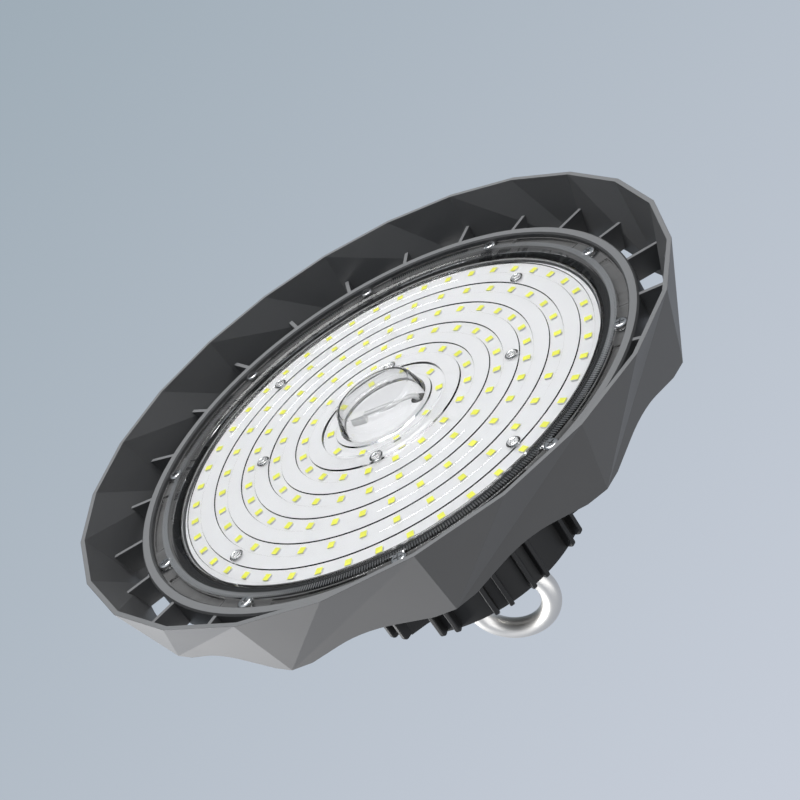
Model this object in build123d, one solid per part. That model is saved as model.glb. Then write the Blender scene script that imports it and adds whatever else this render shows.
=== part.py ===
from build123d import *
import math
import os

os.makedirs("parts", exist_ok=True)

# High bay light, lens facing down, as it hangs.
# Millimetres, +Z up. The origin is the centre of the front rim, on the plane of that rim.
# Height names end in _z. Angles are in degrees, measured from +X.

# Faceted skirt of the heat sink
rim_corner_radius = 150.0
skirt_taper = 9.0
skirt_sectors = 12
skirt_height = 35.4
skirt_wall = 2.2
scallop_half_width = 27.0
scallop_vee_depth = 7.3
scallop_round = 47.0

# Base plate of the heat sink, with the lens pocket in its front
skirt_reach = 22.3
flange_front_z = 15.9
lip_width = 5.0
lip_chamfer = 0.8
lens_seat_depth = 5.5
board_seat_depth = 3.2
board_pocket_clearance = 0.8
plate_thickness = 5.0
platform_height = 1.8

# Fins
fin_count = 24
fin_phase = 1.2
fin_thickness = 2.0
fin_edge_drop = 0.8
fin_edge_rise = 0.8
fin_inner_rise = 14.0
fin_inner_gap = 2.0

# Lens, one clear moulding
lens_clearance = 0.3
lens_flange_thickness = 3.0
lens_panel_offset = 1.0
lens_panel_thickness = 2.2
ridge_height = 2.4
hub_foot_radius = 28.5
hub_top_radius = 19.8
hub_rise = 7.1
hub_round = 1.6
bead_height = 1.0
bead_width = 3.0
serration_width = 3.6
pocket_width = 4.4
pocket_depth = 1.2
pocket_margin_angle = 7.0

# Lens gasket in its groove
groove_width = 4.0
groove_depth = 1.8
groove_land = 1.6
gasket_side_gap = 0.2

# Lens screws
lens_screw_count = 10
lens_screw_inset = 8.7
lens_screw_phase = 11.4
lens_screw_head_radius = 3.5
lens_screw_head_height = 2.2
lens_screw_radius = 2.0
lens_screw_grip = 6.0
counterbore_depth = 0.8
counterbore_gap = 0.45

# Gap between each screw and the sides of its tapped hole
thread_gap = 0.1

# Cross slots in the heads of the lens and board screws, as shares of the screw's own sizes
cross_slots = 2
slot_length_share = 0.55
slot_width_share = 0.35
slot_depth_share = 0.5
pan_round_share = 0.55

# Hexagon sockets in the heads of the other screws, as shares of the head
socket_share = 0.5
socket_depth_share = 0.6
socket_head_round_share = 0.15

# How far a cutting shape runs past the solid that it cuts
over = 1.0

# Board with the light emitting chips
board_inset = 20.4
board_thickness = 1.6
pad_thickness = 0.5
chip_ring_counts = (10, 20, 25, 33, 35, 45)
chip_ring_phases = (2.5, 8.0, 8.3, 4.0, 1.3, 0.8)
first_chip_ring_radius = 28.4
chip_edge_margin = 5.4
chip_radial_size = 2.8
chip_tangential_size = 3.5
chip_height = 0.7

# Board screws, half way between two rings of chips: four outside, and two pairs nearer the middle
outer_board_screw_gap = 4
middle_board_screw_gap = 2
inner_board_screw_gap = 0
outer_board_screw_angle = 30.0
middle_board_screw_angle = 75.0
inner_board_screw_angle = 165.0
board_screw_head_radius = 2.75
board_screw_head_height = 1.7
board_screw_radius = 1.5
board_screw_grip = 3.6

# Way for the two output leads
wire_hole_place = 17.4
wire_hole_angle = 76.0
wire_hole_radius = 3.4
grommet_wall = 1.0
lead_radius = 0.8
lead_spacing = 2.2
lead_gap = 0.1
lead_bend = 2.6
terminal_length = 7.0
terminal_width = 4.6
terminal_height = 3.4
terminal_place = 13.0
terminal_angle = 262.0

# Driver housing
housing_radius = 59.8
housing_height = 72.9
housing_wall = 3.0
housing_floor = 4.0
housing_axis_angle = 137.5
housing_gasket_thickness = 1.0
ledge_width = 5.0
ledge_thickness = 7.0
rim_lip = 4.0
cover_gap = 0.25
rib_height = 4.6
rib_thickness = 2.4
rib_round = 2.2
rib_spread_angle = 3.5
rib_pair_angles = (9.2, 34.0, 60.5)
side_pair_angle = 90.0
rib_edge_round = 0.6

# Notches that clear the housing screws
notch_inset = 2.8
notch_radius = 5.5
notch_angle = 46.8
lug_height = 7.0
housing_screw_head_radius = 4.0
housing_screw_head_height = 3.0
housing_screw_radius = 2.5
housing_screw_bite = 4.0

# Cover plate and its screws
cover_thickness = 4.0
cover_gasket_thickness = 1.0
post_inset = 12.3
post_radius = 4.6
post_turn = 20.0
cover_screw_head_radius = 3.5
cover_screw_head_height = 2.2
cover_screw_radius = 2.0
cover_screw_bite = 9.0
cover_boss_radius = 15.0
cover_boss_height = 8.0
cover_boss_round = 1.6

# Eye bolt
eye_centre_height = 41.7
eye_ring_radius = 19.5
eye_section_radius = 5.15
eye_plane_angle = 77.8
eye_collar_radius = 10.5
eye_collar_height = 5.0
eye_collar_chamfer = 1.25
eye_neck_radius = 7.5
eye_neck_inset = 0.1
eye_shank_chamfer = 1.0
eye_shank_radius = 5.0
eye_shank_below_nut = 2.5
eye_washer_radius = 11.0
eye_washer_thickness = 1.6
eye_nut_flats = 16.0
eye_nut_height = 8.0
eye_nut_corner_cut = 0.28
eye_nut_chamfer = 0.8
hole_clearance = 0.2

# Cable gland, on the side away from the camera
gland_angle = 32.0
gland_height = 42.0
gland_pad_radius = 10.6
gland_pad_outside = 2.2
gland_pad_inside = 5.0
gland_thread_radius = 8.0
gland_washer_thickness = 1.2
gland_hex_flats = 19.0
gland_hex_thickness = 5.0
gland_neck_length = 6.0
gland_neck_radius = 7.6
gland_wall = 1.8
gland_cap_radius = 9.6
gland_cap_length = 13.0
gland_cap_wall = 1.4
gland_cap_round = 2.9
gland_grip_depth = 0.7
gland_entry_radius = 4.6
gland_nut_flats = 19.0
gland_nut_thickness = 3.5
gland_seal_wall = 1.5

# Vent plug in the cover
vent_inset = 27.8
vent_angle = 45.0
vent_thread_radius = 3.0
vent_head_radius = 6.0
vent_head_height = 3.2
vent_bore_radius = 1.2
vent_port_radius = 0.6
vent_head_round = 1.0

# Driver board and what it carries
driver_board_side = 62.0
driver_board_corner = 4.0
driver_board_thickness = 1.6
standoff_height = 8.0
standoff_radius = 3.2
standoff_place = 26.5
driver_screw_radius = 1.5
driver_screw_head_radius = 2.75
driver_screw_head_height = 1.8
driver_screw_bite = 5.0
transformer_side = 24.0
transformer_width = 19.0
transformer_height = 21.0
transformer_window = 5.0
winding_overhang = 2.5
bulk_capacitor_radius = 8.0
bulk_capacitor_height = 26.0
output_capacitor_radius = 5.0
output_capacitor_height = 18.0
can_round_share = 0.15
choke_radius = 8.0
choke_hole_radius = 3.0
choke_thickness = 9.0
film_capacitor_length = 15.0
film_capacitor_width = 7.0
film_capacitor_height = 12.0
film_capacitor_round = 1.0
plate_length = 26.0
plate_height = 18.0
sink_plate_thickness = 2.5
transistor_width = 10.0
transistor_height = 15.0
transistor_thickness = 4.4
block_length = 15.0
block_width = 8.0
block_height = 10.0
block_round = 0.5
fuse_radius = 2.6
fuse_length = 11.0

# Places on the driver board, in the board's own axes
transformer_at = (-2.0, 2.0)
bulk_capacitor_at = (19.5, -10.0)
second_bulk_capacitor_at = (19.5, 8.0)
output_capacitor_places = ((-22.0, -13.0), (-22.0, -1.5), (-22.0, 10.0))
choke_at = (2.0, 21.5)
film_capacitor_at = (4.0, -17.0)
sink_plate_at = (-4.0, -27.0)
block_at = (-14.0, 25.0)
fuse_at = (17.0, 21.0)
transistor_offset = 7.0

# Heights worked out from the sizes above, from the lens side up
lens_seat_z = flange_front_z + lens_seat_depth
board_seat_z = lens_seat_z + board_seat_depth
plate_back_z = board_seat_z + plate_thickness
platform_z = plate_back_z + platform_height
pad_front_z = board_seat_z - pad_thickness
board_front_z = pad_front_z - board_thickness
chip_front_z = board_front_z - chip_height
lens_flange_front_z = lens_seat_z - lens_flange_thickness
lens_back_z = lens_seat_z - lens_panel_offset
lens_valley_z = lens_back_z - lens_panel_thickness
lens_screw_seat_z = lens_flange_front_z + counterbore_depth
lens_screw_tip_z = lens_seat_z + lens_screw_grip
board_screw_tip_z = board_seat_z + board_screw_grip
housing_base_z = platform_z + housing_gasket_thickness
housing_floor_z = housing_base_z + housing_floor
housing_top_z = housing_base_z + housing_height
cover_base_z = housing_top_z - cover_thickness
ledge_z = cover_base_z - cover_gasket_thickness
cover_top_z = housing_top_z
boss_top_z = cover_top_z + cover_boss_height
eye_nut_seat_z = cover_base_z - eye_washer_thickness
eye_shank_tip_z = eye_nut_seat_z - eye_nut_height - eye_shank_below_nut
driver_board_z = housing_floor_z + standoff_height
driver_top_z = driver_board_z + driver_board_thickness
gland_z = housing_base_z + gland_height

# Radii worked out from the sizes above
rear_corner_radius = rim_corner_radius - skirt_taper
flange_radius = rim_corner_radius - skirt_reach
lens_screw_circle = flange_radius - lens_screw_inset
board_radius = flange_radius - board_inset
last_chip_ring_radius = board_radius - chip_edge_margin
led_ring_pitch = (last_chip_ring_radius - first_chip_ring_radius) / (len(chip_ring_counts) - 1)
notch_place = housing_radius - notch_inset
post_circle = housing_radius - post_inset
vent_place = housing_radius - vent_inset
lens_pocket_radius = flange_radius - lip_width
lens_radius = lens_pocket_radius - lens_clearance
board_pocket_radius = board_radius + board_pocket_clearance
groove_inner_radius = board_pocket_radius + groove_land
groove_outer_radius = groove_inner_radius + groove_width
valley_start_radius = first_chip_ring_radius + led_ring_pitch / 2
valley_end_radius = valley_start_radius + led_ring_pitch * (len(chip_ring_counts) - 1)
bead_inner_radius = valley_end_radius + serration_width
bead_outer_radius = bead_inner_radius + bead_width
housing_outer_radius = housing_radius + rib_height

# Distances along the gland axis, from the middle of the lamp outward
gland_face = housing_radius + gland_pad_outside
gland_hex_start = gland_face + gland_washer_thickness
gland_neck_start = gland_hex_start + gland_hex_thickness
gland_inner_face = housing_radius - housing_wall - gland_pad_inside
gland_bore_radius = gland_neck_radius - gland_wall

STAND = (Align.CENTER, Align.CENTER, Align.MIN)
HANG = (Align.CENTER, Align.CENTER, Align.MAX)


def pillar(radius, low, high):
    """Upright round bar between two heights."""
    return Pos(0, 0, low) * Cylinder(radius, high - low, align=STAND)


def ring(outer, inner, low, high):
    """Upright tube between two heights."""
    return pillar(outer, low, high) - pillar(inner, low - over, high + over)


def turned(points):
    """Solid turned round the Z axis from (radius, height) points."""
    outline = Polyline(*[(x, 0, z) for x, z in points], close=True)
    return revolve(make_face(outline), Axis.Z)


def around(shape, distance, angle):
    """The shape, moved out along X and turned round the Z axis."""
    return Rot(0, 0, angle) * Pos(distance, 0, 0) * shape


def hexagon(flats, low, high):
    """Upright hexagon bar, sized across its flats."""
    return Pos(0, 0, low) * extrude(RegularPolygon(flats / 2, 6, major_radius=False), high - low)


def on_ray(radius, angle, height):
    """Point at a radius, an angle and a height."""
    turn = math.radians(angle)
    return Vector(radius * math.cos(turn), radius * math.sin(turn), height)


def outward(shape, angle, height):
    """The shape, with its Z axis laid down to point away from the middle."""
    return Rot(0, 0, angle) * Pos(0, 0, height) * Rot(0, 90, 0) * shape


def save(shape, name):
    """Write one sub-part to its own file."""
    shape.label = name
    export_step(shape, f"parts/{name}.step")


def group(shapes):
    """Separate solids that share one file."""
    return Compound(children=[solid for shape in shapes for solid in shape.solids()])


def faceted_drum(inset):
    """Skirt outline as a solid: a rim with twice as many corners as the rear edge."""
    step = 180 / skirt_sectors
    rim = [on_ray(rim_corner_radius - inset, step * k, 0) for k in range(2 * skirt_sectors)]
    rear = [on_ray(rear_corner_radius - inset, 2 * step * k, skirt_height) for k in range(skirt_sectors)]
    triangles = [rim, rear]
    for k in range(skirt_sectors):
        top = rear[k]
        triangles.append([top, rim[2 * k], rim[2 * k - 1]])
        triangles.append([top, rim[2 * k - 1], rim[2 * k - 2]])
        triangles.append([top, rim[2 * k - 2], rear[k - 1]])
    faces = [Face(Wire.make_polygon(points, close=True)) for points in triangles]
    return Solid(Shell(faces))


def scallop_cutter(angle):
    """Shallow rounded vee that is cut from the rear edge of one side of the skirt."""
    inner_start = rear_corner_radius * math.cos(math.pi / skirt_sectors) - 6 * skirt_wall
    slope = scallop_vee_depth / scallop_half_width
    reach = scallop_half_width + skirt_wall
    rise = skirt_wall * slope
    bottom = (0, skirt_height - scallop_vee_depth)
    left = (-reach, skirt_height + rise)
    right = (reach, skirt_height + rise)
    outline = FilletPolyline(left, bottom, right, radius=scallop_round)
    face = make_face(outline.edges() + Line(right, left).edges())
    turn = math.radians(angle)
    side = Plane(
        origin=on_ray(inner_start, angle, 0),
        x_dir=(-math.sin(turn), math.cos(turn), 0),
        z_dir=(math.cos(turn), math.sin(turn), 0),
    )
    return extrude(side * face, rim_corner_radius - inner_start)


def skirt():
    """Thin faceted wall, open at both ends, with a scalloped rear edge."""
    wall = faceted_drum(0) - faceted_drum(skirt_wall)
    step = 360 / skirt_sectors
    cutters = [scallop_cutter(step * (k + 0.5)) for k in range(skirt_sectors)]
    return wall - cutters


def base_plate():
    """Round plate with the lip, the lens seat, the gasket groove and the board pocket."""
    points = [
        (0, board_seat_z),
        (board_pocket_radius, board_seat_z),
        (board_pocket_radius, lens_seat_z),
        (groove_inner_radius, lens_seat_z),
        (groove_inner_radius, lens_seat_z + groove_depth),
        (groove_outer_radius, lens_seat_z + groove_depth),
        (groove_outer_radius, lens_seat_z),
        (lens_pocket_radius, lens_seat_z),
        (lens_pocket_radius, flange_front_z + lip_chamfer),
        (lens_pocket_radius + lip_chamfer, flange_front_z),
        (flange_radius - lip_chamfer, flange_front_z),
        (flange_radius, flange_front_z + lip_chamfer),
        (flange_radius, plate_back_z),
        (housing_outer_radius, plate_back_z),
        (housing_outer_radius - platform_height, platform_z),
        (0, platform_z),
    ]
    return turned(points)


def fin():
    """One radial plate: a tall rib on the back of the base plate that runs on to the skirt."""
    inner = housing_outer_radius + fin_inner_gap
    middle_z = board_seat_z + plate_thickness / 2
    outline = Polyline(
        (inner, 0, middle_z),
        (inner, 0, plate_back_z + fin_inner_rise),
        (flange_radius, 0, plate_back_z + fin_edge_rise),
        (flange_radius, 0, plate_back_z - fin_edge_drop),
        (rim_corner_radius, 0, plate_back_z - fin_edge_drop),
        (rim_corner_radius, 0, flange_front_z + lip_chamfer),
        (flange_radius - lip_chamfer, 0, flange_front_z + lip_chamfer),
        (flange_radius - lip_chamfer, 0, middle_z),
        close=True,
    )
    return extrude(make_face(outline), fin_thickness / 2, both=True)


def fins():
    """All fins, trimmed half way into the skirt wall."""
    drum = faceted_drum(skirt_wall / 2)
    blade = fin()
    step = 360 / fin_count
    return [(Rot(0, 0, fin_phase + step * k) * blade) & drum for k in range(fin_count)]


def lens_screw_angles():
    """Angles of the screws round the lens."""
    return [lens_screw_phase + 360 / lens_screw_count * k for k in range(lens_screw_count)]


def between_rings(gap):
    """Radius half way between two rings of chips, where gap 0 is the first."""
    return first_chip_ring_radius + led_ring_pitch * gap + led_ring_pitch / 2


def board_screw_places():
    """Radius and angle of each screw that holds the board."""
    outer = [(between_rings(outer_board_screw_gap), outer_board_screw_angle + 90 * k) for k in range(4)]
    middle = [(between_rings(middle_board_screw_gap), middle_board_screw_angle + 180 * k) for k in range(2)]
    inner = [(between_rings(inner_board_screw_gap), inner_board_screw_angle + 180 * k) for k in range(2)]
    return outer + middle + inner


def notch_angles():
    """Angles of the four notches in the driver housing."""
    turns = (notch_angle, -notch_angle, 180 - notch_angle, 180 + notch_angle)
    return [housing_axis_angle + turn for turn in turns]


def heat_sink_body():
    """One casting: base plate, fins and faceted skirt, with its tapped holes."""
    body = base_plate() + skirt() + fins()
    screw_end = lens_screw_tip_z + hole_clearance
    screw_hole = pillar(lens_screw_radius + thread_gap, lens_seat_z - over, screw_end)
    holes = [around(screw_hole, lens_screw_circle, angle) for angle in lens_screw_angles()]
    board_end = board_screw_tip_z + hole_clearance
    board_hole = pillar(board_screw_radius + thread_gap, board_seat_z - over, board_end)
    holes += [around(board_hole, radius, angle) for radius, angle in board_screw_places()]
    bite_z = platform_z - housing_screw_bite - hole_clearance
    housing_hole = pillar(housing_screw_radius + thread_gap, bite_z, platform_z + over)
    holes += [around(housing_hole, notch_place, angle) for angle in notch_angles()]
    wire_hole = pillar(wire_hole_radius, board_seat_z - over, platform_z + over)
    holes.append(around(wire_hole, wire_hole_place, wire_hole_angle))
    return body - holes


def lens_ridges(foot_z, height):
    """One side of the lens panel: an arch over each ring of chips outside the hub."""
    edges = []
    for k in range(len(chip_ring_counts) - 1):
        inner = valley_start_radius + led_ring_pitch * k
        outer = inner + led_ring_pitch
        crest = ((inner + outer) / 2, 0, foot_z - height)
        edges.append(ThreePointArc((inner, 0, foot_z), crest, (outer, 0, foot_z)))
    return edges


def lens_outline():
    """Cross section of the lens from its middle to its edge."""
    hub_top_z = lens_valley_z - hub_rise
    skin = lens_panel_thickness
    front = [
        (0, 0, hub_top_z),
        (hub_top_radius - hub_round, 0, hub_top_z),
        (hub_top_radius, 0, hub_top_z + hub_round),
        (hub_foot_radius, 0, lens_valley_z),
        (valley_start_radius, 0, lens_valley_z),
    ]
    rest = [
        (valley_end_radius, 0, lens_valley_z),
        (bead_inner_radius, 0, lens_flange_front_z - bead_height),
        (bead_outer_radius, 0, lens_flange_front_z - bead_height),
        (bead_outer_radius + bead_height, 0, lens_flange_front_z),
        (lens_radius, 0, lens_flange_front_z),
        (lens_radius, 0, lens_seat_z),
        (valley_end_radius + lens_panel_offset, 0, lens_seat_z),
        (valley_end_radius, 0, lens_back_z),
    ]
    middle = [
        (valley_start_radius, 0, lens_back_z),
        (hub_foot_radius - skin, 0, lens_back_z),
        (hub_top_radius - skin, 0, hub_top_z + hub_round + skin),
        (hub_top_radius - hub_round - skin, 0, hub_top_z + skin),
        (0, 0, hub_top_z + skin),
    ]
    edges = Polyline(*front).edges() + Polyline(*rest).edges() + Polyline(*middle, front[0]).edges()
    for arc in lens_ridges(lens_valley_z, ridge_height) + lens_ridges(lens_back_z, ridge_height):
        edges += arc.edges()
    return make_face(edges)


def lens_pocket(angle):
    """Curved recess in the lens flange, between two screws."""
    span = 360 / lens_screw_count - 2 * pocket_margin_angle
    outer = (lens_radius + bead_outer_radius + bead_height + pocket_width) / 2
    inner = outer - pocket_width
    low = lens_flange_front_z - over
    band = ring(outer, inner, low, lens_flange_front_z + pocket_depth)
    reach = 2 * lens_radius
    half = math.radians(span / 2)
    wedge = Polyline((0, 0), (reach, -reach * math.tan(half)), (reach, reach * math.tan(half)), close=True)
    sector = Pos(0, 0, low) * extrude(make_face(wedge), pocket_depth + 2 * over)
    return Rot(0, 0, angle) * (band & sector)


def lens():
    """Clear one piece lens with its hub, ridges, flange, pockets and screw holes."""
    body = revolve(lens_outline(), Axis.Z)
    half_step = 180 / lens_screw_count
    cuts = [lens_pocket(angle + half_step) for angle in lens_screw_angles()]
    head_radius = lens_screw_head_radius + counterbore_gap
    head = pillar(head_radius, lens_flange_front_z - 2 * over, lens_screw_seat_z)
    shank = pillar(lens_screw_radius + hole_clearance, lens_flange_front_z, lens_seat_z + over)
    cuts += [around(head + shank, lens_screw_circle, angle) for angle in lens_screw_angles()]
    return body - cuts


def lens_gasket():
    """Soft ring that fills the groove and meets the back of the lens."""
    outer = groove_outer_radius - gasket_side_gap
    inner = groove_inner_radius + gasket_side_gap
    return ring(outer, inner, lens_seat_z, lens_seat_z + groove_depth)


def pan_screw(head_radius, head_height, radius, length):
    """Round headed screw hanging head down, with its seat at height 0 and its tip above."""
    head = Cylinder(head_radius, head_height, align=HANG)
    head = fillet(head.edges().group_by(Axis.Z)[0], head_height * pan_round_share)
    shank = Cylinder(radius, length, align=STAND)
    slot_length = 2 * head_radius * slot_length_share
    slot = Box(slot_length, radius * slot_width_share, head_height * slot_depth_share, align=STAND)
    slots = [Rot(0, 0, 180 / cross_slots * k) * slot for k in range(cross_slots)]
    return head + shank - [Pos(0, 0, -head_height) * slot for slot in slots]


def lens_screws():
    """Cross slot screws through the lens flange."""
    length = lens_screw_tip_z - lens_screw_seat_z
    one = pan_screw(lens_screw_head_radius, lens_screw_head_height, lens_screw_radius, length)
    one = Pos(0, 0, lens_screw_seat_z) * one
    return group([around(one, lens_screw_circle, angle) for angle in lens_screw_angles()])


def board_holes(low, high):
    """Screw holes and wire hole of the thin sheets in the board pocket."""
    hole = pillar(board_screw_radius + hole_clearance, low - over, high + over)
    holes = [around(hole, radius, angle) for radius, angle in board_screw_places()]
    wire = pillar(wire_hole_radius, low - over, high + over)
    holes.append(around(wire, wire_hole_place, wire_hole_angle))
    return holes


def led_board():
    """Round metal core board."""
    sheet = pillar(board_radius, board_front_z, pad_front_z)
    return sheet - board_holes(board_front_z, pad_front_z)


def thermal_pad():
    """Soft sheet between the board and the heat sink."""
    sheet = pillar(board_radius, pad_front_z, board_seat_z)
    return sheet - board_holes(pad_front_z, board_seat_z)


def led_chips():
    """Light emitting packages in rings, with their long side along the ring."""
    size = (chip_radial_size, chip_tangential_size, chip_height)
    chip = Pos(0, 0, chip_front_z) * Box(*size, align=STAND)
    chips = []
    for k, count in enumerate(chip_ring_counts):
        radius = first_chip_ring_radius + led_ring_pitch * k
        chips += [around(chip, radius, chip_ring_phases[k] + 360 / count * n) for n in range(count)]
    return group(chips)


def board_screws():
    """Cross slot screws that press the board on the heat sink."""
    length = board_screw_tip_z - board_front_z
    one = pan_screw(board_screw_head_radius, board_screw_head_height, board_screw_radius, length)
    one = Pos(0, 0, board_front_z) * one
    return group([around(one, radius, angle) for radius, angle in board_screw_places()])


def wire_grommet():
    """Soft sleeve in the hole of the heat sink, with a hole for each lead."""
    sleeve = pillar(wire_hole_radius, board_front_z, housing_floor_z)
    bore = pillar(lead_radius + lead_gap, board_front_z - over, housing_floor_z + over)
    sleeve -= [Pos(0, side * lead_spacing / 2, 0) * bore for side in (-1, 1)]
    return around(sleeve, wire_hole_place, wire_hole_angle)


def lead_frame():
    """Plane position and heading of the run from the wire hole to the board terminal."""
    start = on_ray(wire_hole_place, wire_hole_angle, 0)
    end = on_ray(terminal_place, terminal_angle, 0)
    return start, end, (end - start).normalized()


def output_lead(side):
    """One lead: down from the driver board, through the grommet, then flat to the terminal."""
    start, end, heading = lead_frame()
    across = on_ray(1, wire_hole_angle + 90, 0) * (side * lead_spacing / 2)
    run_z = board_front_z - lead_bend
    top = start + across + Vector(0, 0, driver_board_z)
    corner = start + across + Vector(0, 0, run_z)
    sideways = Vector(heading.Y, -heading.X, 0) * (side * lead_spacing / 2)
    finish = end - heading * (terminal_length / 2) + sideways + Vector(0, 0, run_z)
    path = FilletPolyline(top, corner, finish, radius=lead_bend)
    section = Plane(origin=top, z_dir=(0, 0, -1)) * Circle(lead_radius)
    return sweep(section, path=path)


def board_terminal():
    """Small two pole terminal on the board, with an entry for each lead."""
    start, end, heading = lead_frame()
    turn = math.degrees(math.atan2(heading.Y, heading.X))
    size = (terminal_length, terminal_width, terminal_height)
    return Pos(end.X, end.Y, board_front_z) * Rot(0, 0, turn) * Box(*size, align=HANG)


def notch_face(inset):
    """Plan of one notch, grown by the inset, on the +X side."""
    radius = notch_radius + inset
    corner = radius * math.sqrt(0.5)
    reach = housing_outer_radius
    outline = Polyline(
        (notch_place - corner, corner),
        (notch_place - corner + reach, corner + reach),
        (notch_place - corner + reach, -corner - reach),
        (notch_place - corner, -corner),
        close=True,
    )
    return Pos(notch_place, 0) * Circle(radius) + make_face(outline)


def housing_plan(inset):
    """Plan of the driver housing, drawn in by the inset all round."""
    plan = Circle(housing_radius - inset)
    for angle in notch_angles():
        plan -= Rot(0, 0, angle) * notch_face(inset)
    return plan


def housing_slab(inset, low, high):
    """The housing plan between two heights."""
    return Pos(0, 0, low) * extrude(housing_plan(inset), high - low)


def rib():
    """One upright rib of the housing, rounded where it ends at the rear."""
    root = housing_radius - housing_wall / 2
    tip = housing_outer_radius
    end_z = housing_top_z - rib_edge_round
    outline = FilletPolyline(
        (root, 0, housing_base_z),
        (tip, 0, housing_base_z),
        (tip, 0, end_z),
        (root, 0, end_z),
        radius=rib_round,
    )
    closing = Line((root, 0, end_z), (root, 0, housing_base_z))
    blade = extrude(make_face(outline.edges() + closing.edges()), rib_thickness / 2, both=True)
    long_edges = blade.edges().filter_by(Axis.Z).sort_by(Axis.X)[-2:]
    return fillet(long_edges, rib_edge_round)


def rib_angles():
    """Angles of all ribs: pairs that mirror about both axes of the housing."""
    pairs = [turn for angle in rib_pair_angles for turn in (angle, -angle, 180 - angle, 180 + angle)]
    pairs += [side_pair_angle, -side_pair_angle]
    return [housing_axis_angle + pair + side * rib_spread_angle for pair in pairs for side in (-1, 1)]


def post_angles():
    """Angles of the four posts that take the cover screws."""
    return [housing_axis_angle + post_turn + 90 * k for k in range(4)]


def standoff_places():
    """Corners where the driver board is screwed down."""
    return [(x * standoff_place, y * standoff_place) for x in (-1, 1) for y in (-1, 1)]


def housing_shell():
    """Cup of the driver housing: wall, floor, ledge and cover rebate, with the screw lugs."""
    shell = housing_slab(0, housing_base_z, housing_top_z)
    lug_top_z = housing_base_z + lug_height
    lug = ring(notch_place + notch_radius, notch_place - notch_radius, housing_base_z, lug_top_z)
    shell += lug & pillar(housing_radius, housing_base_z, lug_top_z)
    cavity_top = ledge_z - ledge_thickness
    shell -= housing_slab(housing_wall, housing_floor_z, cavity_top)
    shell -= housing_slab(rim_lip + ledge_width, cavity_top - over, housing_top_z + over)
    return shell - housing_slab(rim_lip - cover_gap, ledge_z, housing_top_z + over)


def gland_bore(radius):
    """Round bar along the gland axis, right through the pad."""
    return outward(pillar(radius, gland_inner_face - over, gland_face + over), gland_angle, gland_z)


def gland_pad():
    """Thick round pad in the housing wall, flat on both sides, that the gland is clamped on."""
    return outward(pillar(gland_pad_radius, gland_inner_face, gland_face), gland_angle, gland_z)


def driver_housing():
    """Ribbed black cup that holds the driver and screws down on the heat sink."""
    post = pillar(post_radius, housing_floor_z - over, ledge_z)
    body = housing_shell() + [around(post, post_circle, angle) for angle in post_angles()]
    standoff = pillar(standoff_radius, housing_floor_z - over, driver_board_z)
    body += [Rot(0, 0, housing_axis_angle) * Pos(x, y, 0) * standoff for x, y in standoff_places()]
    blade = rib()
    body += [Rot(0, 0, angle) * blade for angle in rib_angles()]
    body += gland_pad()
    bite_z = ledge_z - cover_screw_bite - hole_clearance
    bite = pillar(cover_screw_radius + thread_gap, bite_z, ledge_z + over)
    cuts = [around(bite, post_circle, angle) for angle in post_angles()]
    bite_z = driver_board_z - driver_screw_bite - hole_clearance
    bite = pillar(driver_screw_radius + thread_gap, bite_z, driver_board_z + over)
    cuts += [Rot(0, 0, housing_axis_angle) * Pos(x, y, 0) * bite for x, y in standoff_places()]
    clear = pillar(housing_screw_radius + hole_clearance, housing_base_z - over, housing_top_z)
    cuts += [around(clear, notch_place, angle) for angle in notch_angles()]
    seat_z = housing_base_z + lug_height
    room = pillar(housing_screw_head_radius + hole_clearance, seat_z, housing_top_z + over)
    cuts += [around(room, notch_place, angle) for angle in notch_angles()]
    wire = pillar(wire_hole_radius, housing_base_z - over, housing_floor_z + over)
    cuts.append(around(wire, wire_hole_place, wire_hole_angle))
    cuts.append(gland_bore(gland_thread_radius + thread_gap))
    return body - cuts


def housing_gasket():
    """Flat gasket between the housing and the platform of the heat sink."""
    sheet = pillar(housing_radius, platform_z, housing_base_z)
    screw_hole = pillar(housing_screw_radius + hole_clearance, platform_z - over, housing_base_z + over)
    cuts = [around(screw_hole, notch_place, angle) for angle in notch_angles()]
    wire = pillar(wire_hole_radius, platform_z - over, housing_base_z + over)
    cuts.append(around(wire, wire_hole_place, wire_hole_angle))
    return sheet - cuts


def top_screw(head_radius, head_height, radius, length):
    """Socket head screw standing head up, with its seat at height 0 and its tip below."""
    head = Cylinder(head_radius, head_height, align=STAND)
    head = fillet(head.edges().group_by(Axis.Z)[-1], head_height * socket_head_round_share)
    shank = Cylinder(radius, length, align=HANG)
    depth = head_height * socket_depth_share
    socket = extrude(RegularPolygon(head_radius * socket_share, 6), depth)
    return head + shank - Pos(0, 0, head_height - depth) * socket


def housing_screws():
    """Four screws in the notches, into the heat sink."""
    seat_z = housing_base_z + lug_height
    length = seat_z - platform_z + housing_screw_bite
    one = top_screw(housing_screw_head_radius, housing_screw_head_height, housing_screw_radius, length)
    one = Pos(0, 0, seat_z) * one
    return group([around(one, notch_place, angle) for angle in notch_angles()])


def cover_holes(low, high):
    """Screw holes through the cover or its gasket."""
    hole = pillar(cover_screw_radius + hole_clearance, low - over, high + over)
    return [around(hole, post_circle, angle) for angle in post_angles()]


def cover_gasket():
    """Soft frame on the ledge under the cover."""
    frame = housing_slab(rim_lip, ledge_z, cover_base_z)
    frame -= housing_slab(rim_lip + ledge_width, ledge_z - over, cover_base_z + over)
    tab = pillar(post_radius, ledge_z, cover_base_z)
    frame += [around(tab, post_circle, angle) for angle in post_angles()]
    return frame - cover_holes(ledge_z, cover_base_z)


def vent_axis(shape):
    """The shape, moved to the place of the vent plug."""
    return around(shape, vent_place, housing_axis_angle + vent_angle)


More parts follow.
